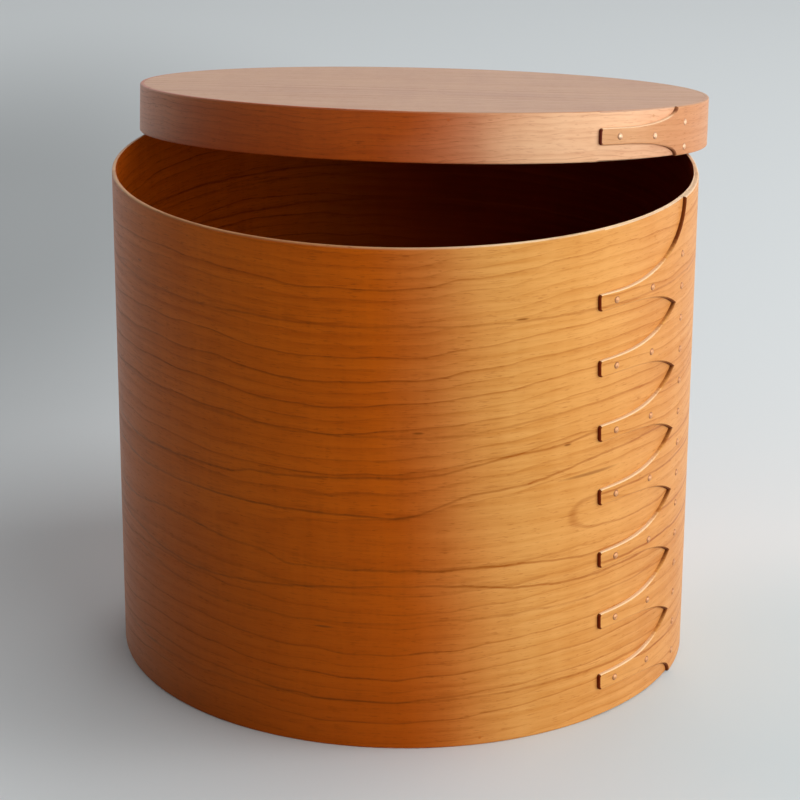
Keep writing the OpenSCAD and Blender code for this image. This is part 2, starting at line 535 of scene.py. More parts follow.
        # Gold-toned painted sheen on the lap.
        lap = 1 - grain.along.rise(self.lap_sheen_from, self.lap_sheen_to)
        colour = g.mix(colour, self.lap_sheen, lap * self.lap_sheen_share)

        nap = (fibre - 0.5) * self.fibre + grain.drift(CROSS, self.cross) * base_tone_zone + pore * self.pore
        dark = thin * self.line_share * (self.second_tone_line_share + self.base_tone_gain * base_tone_zone)
        dark = dark + nap * self.fibre_share * (1.0 + self.base_tone_gain * base_tone_zone)
        for mark in self.marks(grain, fade):
            dark = dark + mark
        colour = g.mix(colour, g.mix(self.line, self.line_deep, base_tone_zone), dark)
        for fleck in self.flecks:
            over = (grain.along - fleck.along * MM) / (fleck.length * MM)
            far = over.length_with((grain.across - fleck.across * MM) / (fleck.width * MM))
            colour = g.mix(colour, self.resin, (1 - far.rise(*self.resin_edge)) * fleck.share)

        # Painted highlight on upward-facing edges; cut faces and finger tips darkened as end grain and as
        # painted shade.
        wear, end = g.map_of(HIGHLIGHT_AND_CUT_SHADE_MAP)
        cut_and_shade = (0.0 - wear).rise(0.0, 1.0)
        colour = g.mix(colour, self.edge_highlight, wear.rise(0.0, 1.0))
        colour = g.mix(colour, self.cut, cut_and_shade)
        colour = g.mix(colour, self.tip, end)
        rough = self.roughness + (streak - 0.5) * self.streak_rough + pore * self.mark_rough
        rough = rough + thin * self.mark_rough + (cut_and_shade + end) * self.cut_rough
        height = self.fibre_height * fibre - self.pore_depth * pore - self.line_depth * thin
        return g.surface(
            Base_Color=colour, Roughness=rough, Normal=g.bump(height, self.relief, self.relief_size),
            Specular_Tint=self.gloss, Specular_IOR_Level=self.gloss_level,
            Anisotropic=self.silk, Anisotropic_Rotation=self.silk_turn,
        )


@dataclass(frozen=True)
class CopperFinish:
    """Copper gone dull, lighter in patches where use has brightened it, with painted shade darkening each
    head and clinched end towards its rim.
    """

    name: str
    # Colour of the painted shade at the rims.
    rim: Colour = (0.20, 0.065, 0.020)
    bright: Colour = (0.60, 0.29, 0.12)
    dull: Colour = (0.47, 0.20, 0.08)
    metal: float = 0.4
    roughness: float = 0.42
    patch_rough: float = 0.3
    patch_edge: Point = (0.38, 0.72)
    patches_per_metre: float = 900.0
    rim_shade_edge: Point = (0.62, 1.0)
    rim_shade_share: float = 0.75
    marks_per_metre: float = 3600.0
    mark_relief: float = 0.3
    mark_size: float = 0.05 * MM

    def material(self) -> Material:
        """Makes the copper.

        Returns:
            The finished material.
        """
        g = Graph.of_material(self.name)
        place = g.node("ShaderNodeTexCoord", {}, {}, "Object")

        def spotted(per_metre: float, detail: float) -> Wire:
            """Noise with so many changes in a metre."""
            sockets = {0: place, "Scale": per_metre}
            return g.noise(g.node("ShaderNodeVectorMath", {"operation": "SCALE"}, sockets), detail)

        patch = spotted(self.patches_per_metre, 3)
        out, _ = g.map_of(GRAIN_MAP)
        colour = g.mix(self.bright, self.dull, patch.rise(*self.patch_edge))
        # Painted shade towards the rim of each head and clinched end.
        colour = g.mix(colour, self.rim, out.rise(*self.rim_shade_edge) * self.rim_shade_share)
        rough = self.roughness + (patch - 0.5) * self.patch_rough
        normal = g.bump(spotted(self.marks_per_metre, 2), self.mark_relief, self.mark_size)
        return g.surface(Base_Color=colour, Metallic=self.metal, Roughness=rough, Normal=normal)


@dataclass(frozen=True)
class FloorShadePatch:
    """An oval patch of painted shade on the floor, in another tint, which fades out between two shares of its
    size.
    """

    x: float
    y: float
    wide: float
    deep: float
    edge: Point
    tint: Colour
    share: float


@dataclass(frozen=True)
class FloorFinish:
    """Matt pale grey studio paper, with a painted shadow behind the box on the left and a cooler painted
    shade in front on the right.
    """

    name: str
    colour: Colour = (0.74, 0.78, 0.80)
    roughness: float = 0.9
    # Painted shadow behind the box on the left; cooler painted shade in front on the right.
    patches: tuple[FloorShadePatch, ...] = (
        FloorShadePatch(x=-0.33, y=0.75, wide=0.35, deep=0.75, edge=(0.2, 1.1), tint=BLACK, share=0.42),
        FloorShadePatch(
            x=0.22, y=-0.08, wide=0.30, deep=0.30, edge=(0.25, 0.75), tint=(0.0, 0.30, 0.44), share=0.18
        ),
    )

    def material(self) -> Material:
        """Makes the paper.

        Returns:
            The finished material.
        """
        g = Graph.of_material(self.name)
        x, y, _ = g.split(g.node("ShaderNodeTexCoord", {}, {}, "Object"))
        colour = self.colour
        for patch in self.patches:
            far = ((x - patch.x) / patch.wide).length_with((y - patch.y) / patch.deep)
            colour = g.mix(colour, patch.tint, (1 - far.rise(*patch.edge)) * patch.share)
        return g.surface(Base_Color=colour, Roughness=self.roughness)


class Side(Enum):
    """Kinds of face of a bent strip, in the order of its finishes."""

    OUTSIDE = 0
    INSIDE = 1
    RIM = 2


@dataclass(frozen=True)
class StripFinish:
    """Finishes of a bent strip: its outside, its inside and its upper rim."""

    outside: Material
    inside: Material
    # On the box, the rim's finish is a painted highlight; on the lid it is the board's finish.
    rim: Material


# Modelling

class Part(Enum):
    """Kinds of mesh part that can be selected."""

    EDGE = "EDGE"
    FACE = "FACE"


def object_mode() -> None:
    """Leaves edit mode."""
    bpy.ops.object.mode_set(mode="OBJECT")


def edit_mode() -> None:
    """Enters edit mode with the whole mesh selected."""
    bpy.ops.object.mode_set(mode="EDIT")
    bpy.ops.mesh.select_all(action="SELECT")


def clear_selection() -> None:
    """Leaves nothing selected, in object mode."""
    if bpy.context.mode != "OBJECT":
        object_mode()
    bpy.ops.object.select_all(action="DESELECT")


def focus(piece: Piece) -> None:
    """Makes one piece the only selected one.

    Args:
        piece: piece to work on.
    """
    clear_selection()
    piece.select_set(True)
    bpy.context.view_layer.objects.active = piece


def named(name: str) -> Piece:
    """Names the piece in work and its mesh.

    Args:
        name: name for both.

    Returns:
        The piece.
    """
    piece = bpy.context.object
    piece.name = name
    piece.data.name = name
    return piece


def duplicate(piece: Piece) -> Piece:
    """Copies a piece together with its mesh.

    Args:
        piece: piece to copy.

    Returns:
        The copy.
    """
    copy = piece.copy()
    copy.data = piece.data.copy()
    bpy.context.scene.collection.objects.link(copy)
    return copy


def pick(piece: Piece, part: Part, test: Callable[[bmesh.types.BMEdge | bmesh.types.BMFace], bool]) -> None:
    """Selects only the edges or faces that pass a test, in edit mode.

    Args:
        piece: piece in edit mode.
        part: kind of part to select.
        test: says whether a part is wanted.
    """
    bpy.ops.mesh.select_mode(type=part.value)
    bpy.ops.mesh.select_all(action="DESELECT")
    mesh = bmesh.from_edit_mesh(piece.data)
    for item in mesh.edges if part is Part.EDGE else mesh.faces:
        item.select_set(test(item))
    mesh.select_flush_mode()
    bmesh.update_edit_mesh(piece.data)


def cylinder(name: str, sides: int, radius: float, depth: float, middle: float) -> Piece:
    """Turns a cylinder about Z and opens it in edit mode.

    Args:
        name: name of the cylinder.
        sides: number of its sides.
        radius: its radius.
        depth: its height from end to end.
        middle: height of its middle.

    Returns:
        The cylinder.
    """
    clear_selection()
    spot = (0.0, 0.0, middle)
    bpy.ops.mesh.primitive_cylinder_add(vertices=sides, radius=radius, depth=depth, location=spot)
    bpy.ops.object.transform_apply(location=True, rotation=True, scale=True)
    piece = named(name)
    edit_mode()
    return piece


def bevel(width: float, steps: int = 2) -> None:
    """Rounds the selected edges."""
    bpy.ops.mesh.bevel(offset=width, segments=steps, affect="EDGES", profile=0.5)


def smooth(piece: Piece, angle: float = 50) -> None:
    """Shades a piece smooth, with flat faces kept flat beside their eased edges.

    Args:
        piece: piece to shade.
        angle: largest angle in degrees that is smoothed over.
    """
    focus(piece)
    bpy.ops.object.shade_smooth_by_angle(angle=math.radians(angle))
    even = piece.modifiers.new("even", "WEIGHTED_NORMAL")
    even.keep_sharp = True
    bpy.ops.object.modifier_apply(modifier=even.name)


def lay_grain(piece: Piece, spot: Callable[[Vector], Point]) -> None:
    """Writes the grain map in metres, as the mesh's only map.

    Args:
        piece: piece whose mesh gets the map.
        spot: gives the place along and across the grain for a vertex.
    """
    mesh = piece.data
    while mesh.uv_layers:
        mesh.uv_layers.remove(mesh.uv_layers[0])
    layer = mesh.uv_layers.new(name=GRAIN_MAP)
    for loop in mesh.loops:
        layer.data[loop.index].uv = spot(mesh.vertices[loop.vertex_index].co)


def merge(pieces: Sequence[Piece], name: str) -> Piece:
    """Joins pieces into one.

    Args:
        pieces: pieces to join.
        name: name of the joined piece.

    Returns:
        The joined piece.
    """
    focus(pieces[0])
    for piece in pieces:
        piece.select_set(True)
    bpy.ops.object.join()
    return named(name)


def hand_over(piece: Piece, body: Body, slot: Slot, finish: Material, *nodes: str) -> None:
    """Gives a piece its finish and its place in the frame.

    Args:
        piece: finished piece.
        body: body that it rides on.
        slot: material slot of the record, not used.
        finish: material of the piece.
        nodes: nodes of the frame that it stands for.
    """
    piece.data.materials.clear()
    piece.data.materials.append(finish)
    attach(piece, body.value)
    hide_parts(*nodes)
    LOG.info("%s: %d faces, rides on %s", piece.name, len(piece.data.polygons), body.value)


def ramp(value: float, start: float, end: float) -> float:
    """Straight step from 0 at the start to 1 at the end."""
    return min(1.0, max(0.0, (value - start) / (end - start)))


def quarter_turn(steps: int) -> list[float]:
    """Angles from 0 to a quarter turn in even steps."""
    return [QUARTER_TURN * i / steps for i in range(steps + 1)]


def round_place(angle: float, radius: float, height: float) -> Vector:
    """Point at an angle from the front towards the right, in radians."""
    return Vector((radius * math.sin(angle), -radius * math.cos(angle), height))


def facing_out(angle: float) -> Matrix:
    """Turn that brings +X to face outwards at an angle from the front."""
    return Matrix.Rotation(angle - QUARTER_TURN, 4, "Z")


# The bent strips

@dataclass
class Lap:
    """Fingers and fade of a strip's lap, in the strip's own arc lengths from the finger tips."""

    tip_angle: float
    height: float
    centres: tuple[float, ...]
    span: float
    rim_flare: float
    foot_flare: float
    neck: float
    lean: float = 0.0
    apex_up: float = 1.8 * MM
    power: float = 3.3
    tip_width: float = 8.7 * MM
    row_in: float = 9 * MM
    fade_angle: float = math.radians(37)
    corner: float = 1.8 * MM
    corner_steps: int = 4
    steps: int = 28

    @property
    def row(self) -> float:
        """Arc from the tips to the tack row."""
        return self.span + self.row_in

    def leaned(self, arc: float, height: float) -> float:
        """Arc of a place once the finger line leans, from where the tips are half way up."""
        return arc + self.lean * (0.5 * self.height - height)

    def gap_curve(self, upper: float, lower: float) -> list[Point]:
        """Space between two fingers, from under the upper one round the pointed root to the lower one.

        Args:
            upper: height of the upper finger's lower side.
            lower: height of the lower finger's upper side.

        Returns:
            Points as arc and height.
        """
        middle = 0.5 * (upper + lower)
        half = 0.5 * (upper - lower)
        shares = [math.sin(a) for a in quarter_turn(self.steps)[1:]]
        open_half = [(s, half * (1 - s ** self.power)) for s in shares]
        going = [(self.span * s, middle + up + self.apex_up * s) for s, up in open_half]
        coming = [(self.span * s, middle - up + self.apex_up * s) for s, up in reversed(open_half[:-1])]
        return going + coming

    def flare_curve(self, span: float, rise: float) -> list[Point]:
        """Outer side of an end finger from its neck to the edge, as arc and distance from the edge."""
        turns = quarter_turn(self.steps)
        return [(self.neck + (span - self.neck) * math.sin(a), rise * math.cos(a)) for a in turns]

    def corner_curve(self, height: float, side: int) -> list[Point]:
        """Rounded corner of a finger tip, from the finger's side to its end.

        Args:
            height: height of the finger's side.
            side: 1 for the upper corner, -1 for the lower one.

        Returns:
            Points as arc and height.
        """
        turns = quarter_turn(self.corner_steps)
        c = self.corner
        return [(c - c * math.sin(a), height - side * c * (1 - math.cos(a))) for a in turns]

    def outline(self, stops: Sequence[float]) -> list[Point]:
        """Outline of the flat strip, anticlockwise.

        Args:
            stops: arcs of the corners along the strip's long edges, ending with its length.

        Returns:
            Points as arc and height.
        """
        half = 0.5 * self.tip_width
        top = self.centres[-1] + half
        rim_side = self.flare_curve(self.rim_flare, self.height - top)
        points = [(arc, self.height - drop) for arc, drop in reversed(rim_side)]
        for i in range(len(self.centres) - 1, -1, -1):
            centre = self.centres[i]
            points += self.corner_curve(centre + half, 1)
            points += list(reversed(self.corner_curve(centre - half, -1)))
            if i:
                points += self.gap_curve(centre - half, self.centres[i - 1] + half)
        points += self.flare_curve(self.foot_flare, self.centres[0] - half)
        leaning = [(self.leaned(arc, height), height) for arc, height in points]
        above = [(arc, self.height) for arc in reversed(stops)]
        below = [(arc, 0.0) for arc in stops]
        return above + leaning + below


@dataclass
class BentStrip:
    """A thin strip bent round once, whose fingered end laps over its thinned inner end."""

    name: str
    body: Body
    radius: float
    height: float
    thick: float
    lap: Lap
    place: Matrix
    ease: float = 0.85 * MM
    ease_steps: int = 3
    inner_ease: float = 0.30 * MM
    column: float = 4 * MM
    feather: float = 0.15 * MM
    tip_zone: float = 8 * MM
    tip_facing: float = 0.6
    inside_facing: float = -0.5
    rim_facing: float = 0.3
    least_edge: float = 0.25
    # Facings for the painted highlight on upward edges and for darkening cut faces as end grain and painted
    # shade; downward faces darken sooner, as painted shade under the edge.
    under_cut_and_shade: Point = (0.10, 0.45)
    highlight_facing: Point = (0.2, 0.5)
    highlight_ends: Point = (0.22, 0.42)
    upper_cut_and_shade: Point = (0.36, 0.62)

    @property
    def arc_radius(self) -> float:
        """Radius at which arc lengths are measured."""
        return self.radius + self.thick

    @property
    def middle(self) -> float:
        """Turn from the tips to the thickest place of the lap."""
        return 0.5 * self.lap.row / self.arc_radius

    @property
    def fade_end(self) -> float:
        """Turn from the tips to where the lap has become the plain strip."""
        return self.middle + self.lap.fade_angle

    @property
    def length(self) -> float:
        """Whole length of the strip."""
        return (FULL_TURN + self.fade_end) * self.arc_radius

    def lap_face(self, turn: float) -> float:
        """Radius of the lap's outer face.

        Args:
            turn: turn from the tips, in radians.

        Returns:
            The radius.
        """
        off = self.thick / (1 - math.cos(self.lap.fade_angle))
        far = turn - self.middle
        return off * math.cos(far) + math.sqrt((self.arc_radius - off) ** 2 - (off * math.sin(far)) ** 2)

    def under_face(self, turn: float) -> float:
        """Radius of the face between the lap's two layers, at a turn from the tips."""
        share = ramp(turn, self.lap.row / self.arc_radius, self.fade_end)
        return self.radius - self.thick * share * share * (3 - 2 * share)

    def layer(self, turn: float) -> tuple[float, float]:
        """Inner and outer radius of the strip.

        Args:
            turn: turn from the tips, in radians.

        Returns:
            Inner and outer radius.
        """
        bore = self.radius - self.thick
        if turn >= FULL_TURN:
            return bore, max(self.under_face(turn - FULL_TURN), bore + self.feather)
        if turn >= self.fade_end:
            return bore, self.radius
        return self.under_face(turn), max(self.radius, self.lap_face(turn))

    def bent(self, flat: Vector) -> Vector:
        """Place of a point of the flat strip once it is bent.

        Args:
            flat: arc, depth from the inner face, and height.

        Returns:
            The point in the frame.
        """
        turn = flat.x / self.arc_radius
        inner, outer = self.layer(turn)
        radius = inner + (outer - inner) * flat.y / self.thick
        return self.place @ round_place(self.lap.tip_angle + turn, radius, flat.z)

    def build(self) -> Piece:
        """Cuts the flat strip, eases its edges and bends it.

        Returns:
            The bent strip.
        """
        fade_arc = self.fade_end * self.arc_radius
        covered = FULL_TURN * self.arc_radius
        points = self.lap.outline((fade_arc, covered, self.length))
        clear_selection()
        bpy.ops.mesh.primitive_circle_add(vertices=len(points), radius=1.0, fill_type="NGON")
        strip = named(self.name)
        for vertex, (arc, height) in zip(strip.data.vertices, points):
            vertex.co = (arc, 0.0, height)
        edit_mode()
        bpy.ops.mesh.extrude_region_move(TRANSFORM_OT_translate={"value": (0.0, self.thick, 0.0)})
        bpy.ops.mesh.select_all(action="SELECT")
        bpy.ops.mesh.normals_make_consistent(inside=False)
        self.pick_edges(strip, self.thick, -self.length, covered)
        bevel(self.ease, self.ease_steps)
        self.pick_edges(strip, 0.0, fade_arc, self.length)
        bevel(self.inner_ease)
        columns = int(self.length / self.column)
        for i in range(1, columns):
            bpy.ops.mesh.select_all(action="SELECT")
            bpy.ops.mesh.bisect(plane_co=(self.length * i / columns, 0.0, 0.0), plane_no=(1.0, 0.0, 0.0))
        object_mode()
        lay_grain(strip, lambda co: (co.x, co.z))
        for vertex in strip.data.vertices:
            vertex.co = self.bent(vertex.co)
        edit_mode()
        bpy.ops.mesh.normals_make_consistent(inside=False)
        object_mode()
        smooth(strip)
        return strip

    def pick_edges(self, strip: Piece, depth: float, start: float, end: float) -> None:
        """Selects the flat strip's edges at a depth from the inner face, between two arcs."""
        pick(strip, Part.EDGE, lambda edge: all(
            abs(v.co.y - depth) < FLAT and start - NEAR < v.co.x < end + NEAR for v in edge.verts
        ))

    def side(self, facing: Vector, spot: Vector) -> Side:
        """Kind of a face.

        Args:
            facing: normal of the face, in the strip's own frame.
            spot: centre of the face, in the strip's own frame.

        Returns:
            The kind.
        """
        if facing.xy.dot(spot.xy.normalized()) < self.inside_facing:
            return Side.INSIDE
        on_rim = facing.z > self.rim_facing and spot.z > self.height - self.ease
        return Side.RIM if on_rim else Side.OUTSIDE

    def wear(self, facing: Vector, spot: Vector) -> Point:
        """How much an outer face gets a painted highlight, on an upward-facing edge, or is darkened as cut
        end grain and as painted shade.

        Args:
            facing: normal of the face, in the strip's own frame.
            spot: centre of the face, in the strip's own frame.

        Returns:
            From 1 for an upward edge with a painted highlight to -1 for a cut one, darkened as end grain and
            as painted shade, and 1 for a finger's tip, darkened the same way.
        """
        out = spot.xy.normalized()
        edge = Vector((facing.xy.dot(Vector((out.y, -out.x))), facing.z))
        across = edge.x / max(edge.length, self.least_edge)
        turn = math.atan2(spot.x, -spot.y) - self.lap.tip_angle
        if across > self.tip_facing and abs(turn) * self.arc_radius < self.tip_zone:
            return 0.0, 1.0
        # Downward faces darken sooner: painted shade under the edge, besides end grain.
        if edge.y < 0:
            return -ramp(across, *self.under_cut_and_shade), 0.0
        highlight = ramp(facing.z, *self.highlight_facing) * (1 - ramp(across, *self.highlight_ends))
        return highlight - ramp(across, *self.upper_cut_and_shade), 0.0

    def dress(self, strip: Piece, finish: StripFinish, node: str) -> None:
        """Gives the strip its finishes and its place in the frame.

        Args:
            strip: bent strip.
            finish: finishes of its faces.
            node: node of the frame that it stands for.
        """
        hand_over(strip, self.body, Slot.CHERRY, finish.outside, node)
        for other in (finish.inside, finish.rim):
            strip.data.materials.append(other)
        axis = self.place.inverted()
        wear = strip.data.uv_layers.new(name=HIGHLIGHT_AND_CUT_SHADE_MAP)
        for face in strip.data.polygons:
            facing = axis.to_3x3() @ face.normal
            spot = axis @ face.center
            side = self.side(facing, spot)
            face.material_index = side.value
            share = self.wear(facing, spot) if side is Side.OUTSIDE else (0.0, 0.0)
            for index in face.loop_indices:
                wear.data[index].uv = share

    def lap_depth(self, arc: float, height: float) -> float:
        """Thickness of both layers at a place on the lap."""
        return self.lap_face(self.lap.leaned(arc, height) / self.arc_radius) - self.radius + self.thick

    def tack_place(self, arc: float, height: float) -> Matrix:
        """Seat of a tack on the lap, with its head along +X.

        Args:
            arc: arc from the finger tips.
            height: height above the strip's lower edge.

        Returns:
            The seat.
        """
        turn = self.lap.leaned(arc, height) / self.arc_radius
        angle = self.lap.tip_angle + turn
        seat = round_place(angle, self.lap_face(turn), height)
        return self.place @ Matrix.Translation(seat) @ facing_out(angle)


# Boards

@dataclass
class Board:
    """A round board inside a strip, with eased edges."""

    name: str
    body: Body
    radius: float
    low: float
    thick: float
    place: Matrix
    ease: float = 0.2 * MM
    rings: int = 5
    sides: int = 160

    def build(self) -> Piece:
        """Turns the board and eases its edges.

        Returns:
            The board.
        """
        board = cylinder(self.name, self.sides, self.radius, self.thick, self.low + 0.5 * self.thick)
        pick(board, Part.EDGE, lambda edge: abs(edge.verts[0].co.z - edge.verts[1].co.z) < FLAT)
        bevel(self.ease)
        for _ in range(self.rings):
            pick(board, Part.FACE, lambda face: len(face.verts) == self.sides)
            bpy.ops.mesh.inset(thickness=self.radius / (self.rings + 1), depth=0.0)
        object_mode()
        lay_grain(board, lambda co: (co.x, co.y))
        board.data.transform(self.place)
        smooth(board)
        return board

    def dress(self, board: Piece, finish: Material, node: str) -> None:
        """Gives the board its finish and its place in the frame."""
        hand_over(board, self.body, Slot.BOARD, finish, node)


# Tacks and pegs

@dataclass
class Tack:
    """A hammered copper tack, modelled once and copied to each place."""

    head: float = 3.5 * MM
    rise: float = 0.8 * MM
    shank: float = 1.5 * MM
    rim_ease: float = 0.16 * MM
    clinch: float = 2.6 * MM
    clinch_rise: float = 0.5 * MM
    clinch_ease: float = 0.4
    clinch_sides: int = 12
    sides: int = 20
    dome_rings: int = 48
    dent: float = 0.045 * MM
    dent_range: Point = (0.5, 1.5)
    slant: float = 0.4
    facing_down: float = -0.9
    smooth_angle: float = 60

    def build_head(self) -> Piece:
        """Models the domed head on a short shank, standing along +X on the seat.

        Returns:
            The pattern that is copied.
        """
        dome = ((0.5 * self.head) ** 2 + self.rise ** 2) / (2 * self.rise)
        clear_selection()
        bpy.ops.mesh.primitive_uv_sphere_add(segments=self.sides, ring_count=self.dome_rings, radius=dome)
        tack = named("tack_pattern")
        edit_mode()
        bpy.ops.mesh.bisect(
            plane_co=(0.0, 0.0, dome - self.rise), plane_no=(0.0, 0.0, 1.0), clear_inner=True, use_fill=True
        )
        pick(tack, Part.FACE, lambda face: face.normal.z < self.facing_down)
        bpy.ops.mesh.inset(thickness=0.5 * (self.head - self.shank), depth=0.0)
        bpy.ops.mesh.extrude_region_move(TRANSFORM_OT_translate={"value": (0.0, 0.0, -self.rise)})
        bpy.ops.mesh.select_all(action="SELECT")
        bpy.ops.transform.translate(value=(0.0, 0.0, self.rise - dome))
        rim = 0.5 * self.head - NEAR

        def on_rim(edge: bmesh.types.BMEdge) -> bool:
            """Says whether an edge is on the head's rim."""
            return all(v.co.xy.length > rim and abs(v.co.z) < FLAT for v in edge.verts)

        pick(tack, Part.EDGE, on_rim)
        bevel(self.rim_ease)
        object_mode()
        lay_grain(tack, lambda co: (2 * co.xy.length / self.head, 0.0))
        tack.data.transform(Matrix.Rotation(QUARTER_TURN, 4, "Y"))
        smooth(tack, self.smooth_angle)
        return tack

    def build_clinch(self) -> Piece:
        """Models the flattened end inside, standing along -X from the inner face.

        Returns:
            The pattern that is copied.
        """
        rise = self.clinch_rise
        end = cylinder("clinch_pattern", self.clinch_sides, 0.5 * self.clinch, rise, 0.5 * rise)
        pick(end, Part.EDGE, lambda edge: all(v.co.z > 0.5 * rise for v in edge.verts))
        bevel(self.clinch_ease * rise)
        object_mode()
        lay_grain(end, lambda co: (2 * co.xy.length / self.clinch, 0.0))
        end.data.transform(Matrix.Rotation(-QUARTER_TURN, 4, "Y"))
        smooth(end, self.smooth_angle)
        return end

    def copy_of(self, pattern: Piece, seat: Matrix, rng: random.Random) -> Piece:
        """Copies a pattern to a seat, a little turned and hammered.

        Args:
            pattern: pattern to copy.
            seat: seat of the copy.
            rng: source of the small differences.

        Returns:
            The copy.
        """
        copy = duplicate(pattern)
        roll = Matrix.Rotation(rng.uniform(0.0, FULL_TURN), 4, "X")
        slants = [rng.uniform(-self.slant, self.slant) for _ in range(2)]
        blow = Vector((1.0, *slants)).normalized()
        dent = rng.uniform(*self.dent_range) * self.dent
        top = max(v.co.dot(blow) for v in copy.data.vertices) - dent
        for vertex in copy.data.vertices:
            over = vertex.co.dot(blow) - top
            if over > 0:
                vertex.co -= blow * over
        copy.data.transform(seat @ roll)
        return copy

    def place_all(
        self, strip: BentStrip, columns: dict[str, list[TackSpot]], copper: Material, seed: int
    ) -> None:
        """Sets columns of tacks on a strip, one piece for each node.

        Args:
            strip: strip that the tacks hold.
            columns: arc, height, and whether the end is clinched, for each tack, by node name.
            copper: finish of the tacks.
            seed: number that fixes the small differences between the tacks.
        """
        head = self.build_head()
        end = self.build_clinch()
        for i, (node, spots) in enumerate(columns.items()):
            rng = random.Random(seed + i)
            copies = []
            for arc, height, clinched in spots:
                seat = strip.tack_place(arc, height)
                copies.append(self.copy_of(head, seat, rng))
                if clinched:
                    inward = Matrix.Translation((-strip.lap_depth(arc, height), 0.0, 0.0))
                    copies.append(self.copy_of(end, seat @ inward, rng))
            hand_over(merge(copies, f"{node}_hammered"), strip.body, Slot.COPPER, copper, node)
        for pattern in (head, end):
            bpy.data.objects.remove(pattern)


@dataclass
class PegRing:
    """Slim wooden pegs driven through a strip into the edge of its board."""

    name: str
    body: Body
    radius: float
    height: float
    first: float
    tip_angle: float
    place: Matrix
    count: int = 8
    thick: float = 1.6 * MM
    length: float = 14 * MM
    proud: float = 0.02 * MM
    ease: float = 0.05 * MM
    sides: int = 14

    def build(self) -> Piece:
        """Models one peg and copies it round the strip.

        Returns:
            The joined pegs.
        """
        peg = cylinder("peg_pattern", self.sides, 0.5 * self.thick, self.length, 0.0)
        pick(peg, Part.EDGE, lambda edge: all(v.co.z > 0.0 for v in edge.verts))
        bevel(self.ease)
        object_mode()
        driven = Matrix.Translation((self.proud - 0.5 * self.length, 0, 0))
        peg.data.transform(driven @ Matrix.Rotation(QUARTER_TURN, 4, "Y"))
        smooth(peg)
        copies = []
        for i in range(self.count):
            angle = self.first + FULL_TURN * i / self.count
            copy = duplicate(peg)
            arc = (angle - self.tip_angle) % FULL_TURN * self.radius
            lay_grain(copy, lambda co: (arc + co.y, self.height + co.z))
            seat = Matrix.Translation(round_place(angle, self.radius, self.height))
            copy.data.transform(self.place @ seat @ facing_out(angle))
            copies.append(copy)
        bpy.data.objects.remove(peg)
        return merge(copies, self.name)

    def dress(self, pegs: Piece, finish: Material, node: str) -> None:
        """Gives the pegs their finish and their place in the frame."""
        hand_over(pegs, self.body, Slot.CHERRY, finish, node)


# Sub-assemblies

@dataclass
class PantryBox:
    """The box: strip, bottom board, pegs and three columns of tacks."""

    radius: float
    height: float
    thick: float
    bottom: float
    tip_angle: float = math.radians(39.6)
    fingers: int = 7
    finger_top: float = 36.8 * MM
    finger_low: float = 19.5 * MM
    finger_length: float = 63.5 * MM
    rim_flare: float = 76.5 * MM
    foot_flare: float = 69 * MM
    neck: float = 12 * MM
    lean: float = 0.035
    tip_tack: float = 11.2 * MM
    root_tack: float = 39 * MM
    row_share: float = 0.25
    first_peg: float = math.radians(15)
    tack_seed: int = 11

    @property
    def pitch(self) -> float:
        """Height from one finger to the next."""
        return (self.height - self.finger_top - self.finger_low) / (self.fingers - 1)

    @property
    def centres(self) -> tuple[float, ...]:
        """Heights of the fingers' centre lines."""
        return tuple(self.finger_low + i * self.pitch for i in range(self.fingers))

    def build(self, cherry: StripFinish, bottom: Material, copper: Material) -> None:
        """Builds and dresses every piece of the box.

        Args:
            cherry: finishes of the strip.
            bottom: finish of the bottom board.
            copper: finish of the tacks.
        """
        rest = Matrix.Identity(4)
        lap = Lap(
            self.tip_angle, self.height, self.centres, self.finger_length, self.rim_flare, self.foot_flare,
            self.neck, self.lean,
        )
        strip = BentStrip("box_strip", Body.BOX, self.radius, self.height, self.thick, lap, rest)
        strip.dress(strip.build(), cherry, "box_band")
        board = Board("bottom_disc", Body.BOX, self.radius - self.thick, 0.0, self.bottom, rest)
        board.dress(board.build(), bottom, "box_bottom")
        pegs = PegRing(
            "bottom_peg_ends", Body.BOX, self.radius, 0.5 * self.bottom, self.first_peg, self.tip_angle, rest
        )
        pegs.dress(pegs.build(), cherry.outside, "bottom_pegs")
        rows = [z + side * self.row_share * self.pitch for z in self.centres for side in (-1, 1)]
        columns = {
            "finger_tip_tacks": [(self.tip_tack, z, True) for z in self.centres],
            "finger_root_tacks": [(self.root_tack, z, True) for z in self.centres],
            "lap_row_tacks": [(lap.row, z, True) for z in rows],
        }
        Tack().place_all(strip, columns, copper, self.tack_seed)


